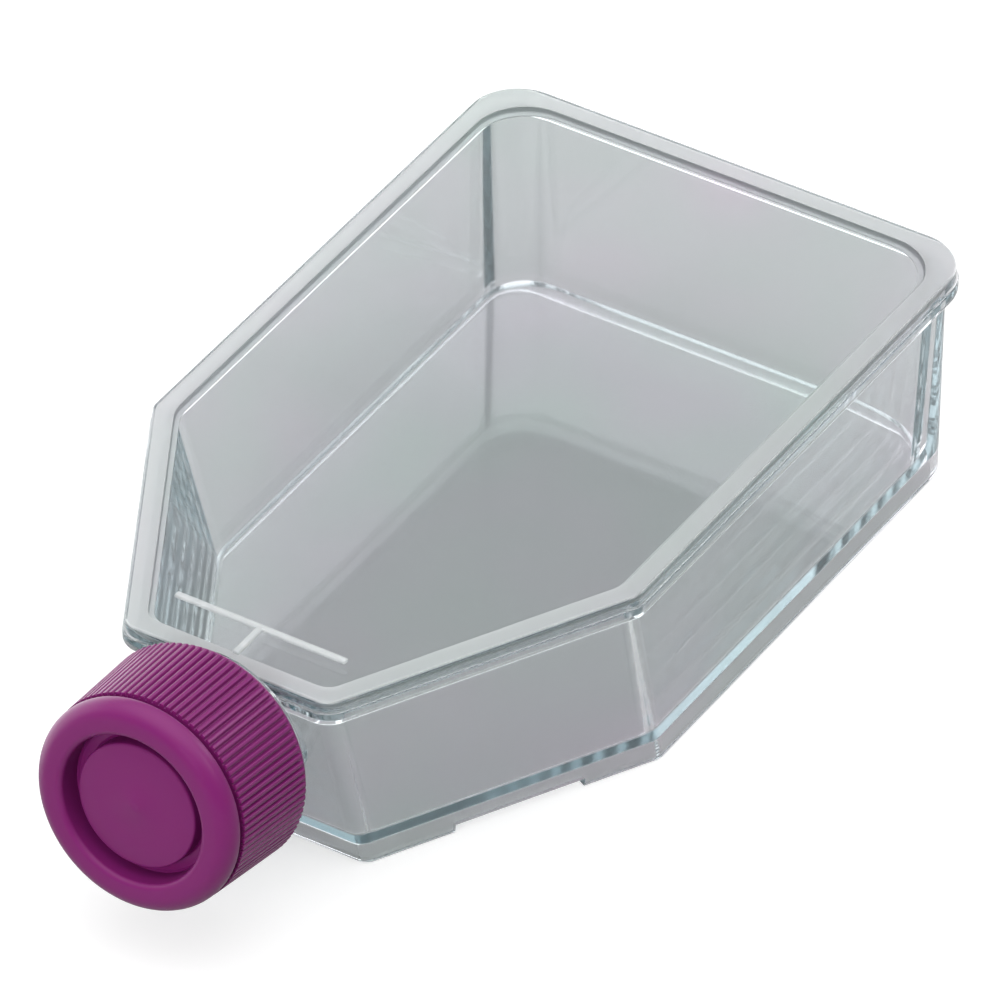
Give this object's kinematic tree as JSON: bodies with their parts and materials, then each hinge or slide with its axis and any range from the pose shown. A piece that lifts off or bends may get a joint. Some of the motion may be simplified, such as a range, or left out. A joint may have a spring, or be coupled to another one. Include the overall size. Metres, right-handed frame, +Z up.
{
  "type": "cell culture flask",
  "caption": "Flat clear tissue-culture flask with sloping shoulders, a welded flat lid, a canted neck and a ribbed screw cap.",
  "frame": {"origin": "on the table, under the middle of the box round flask and cap", "axes": "+Z up from the table, +Y from the neck to the rear wall, +X to the right seen from the cap"},
  "size_m": [0.0828, 0.1648, 0.0443],
  "materials": {
    "clear_polystyrene": "clear, glossy",
    "clear_polystyrene_lid": "clear, glossy",
    "purple_polyethylene": "satin, ribbed grip"
  },
  "bodies": {
    "flask": {"flask_body": "clear_polystyrene", "top_plate": "clear_polystyrene_lid"},
    "cap": {"cap": "purple_polyethylene"}
  },
  "joints": [
    {"name": "cap_lift", "type": "slide", "parent": "flask", "child": "cap", "axis": [0, -0.9917, 0.1288], "range_m": [0, 0.022]}
  ]
}
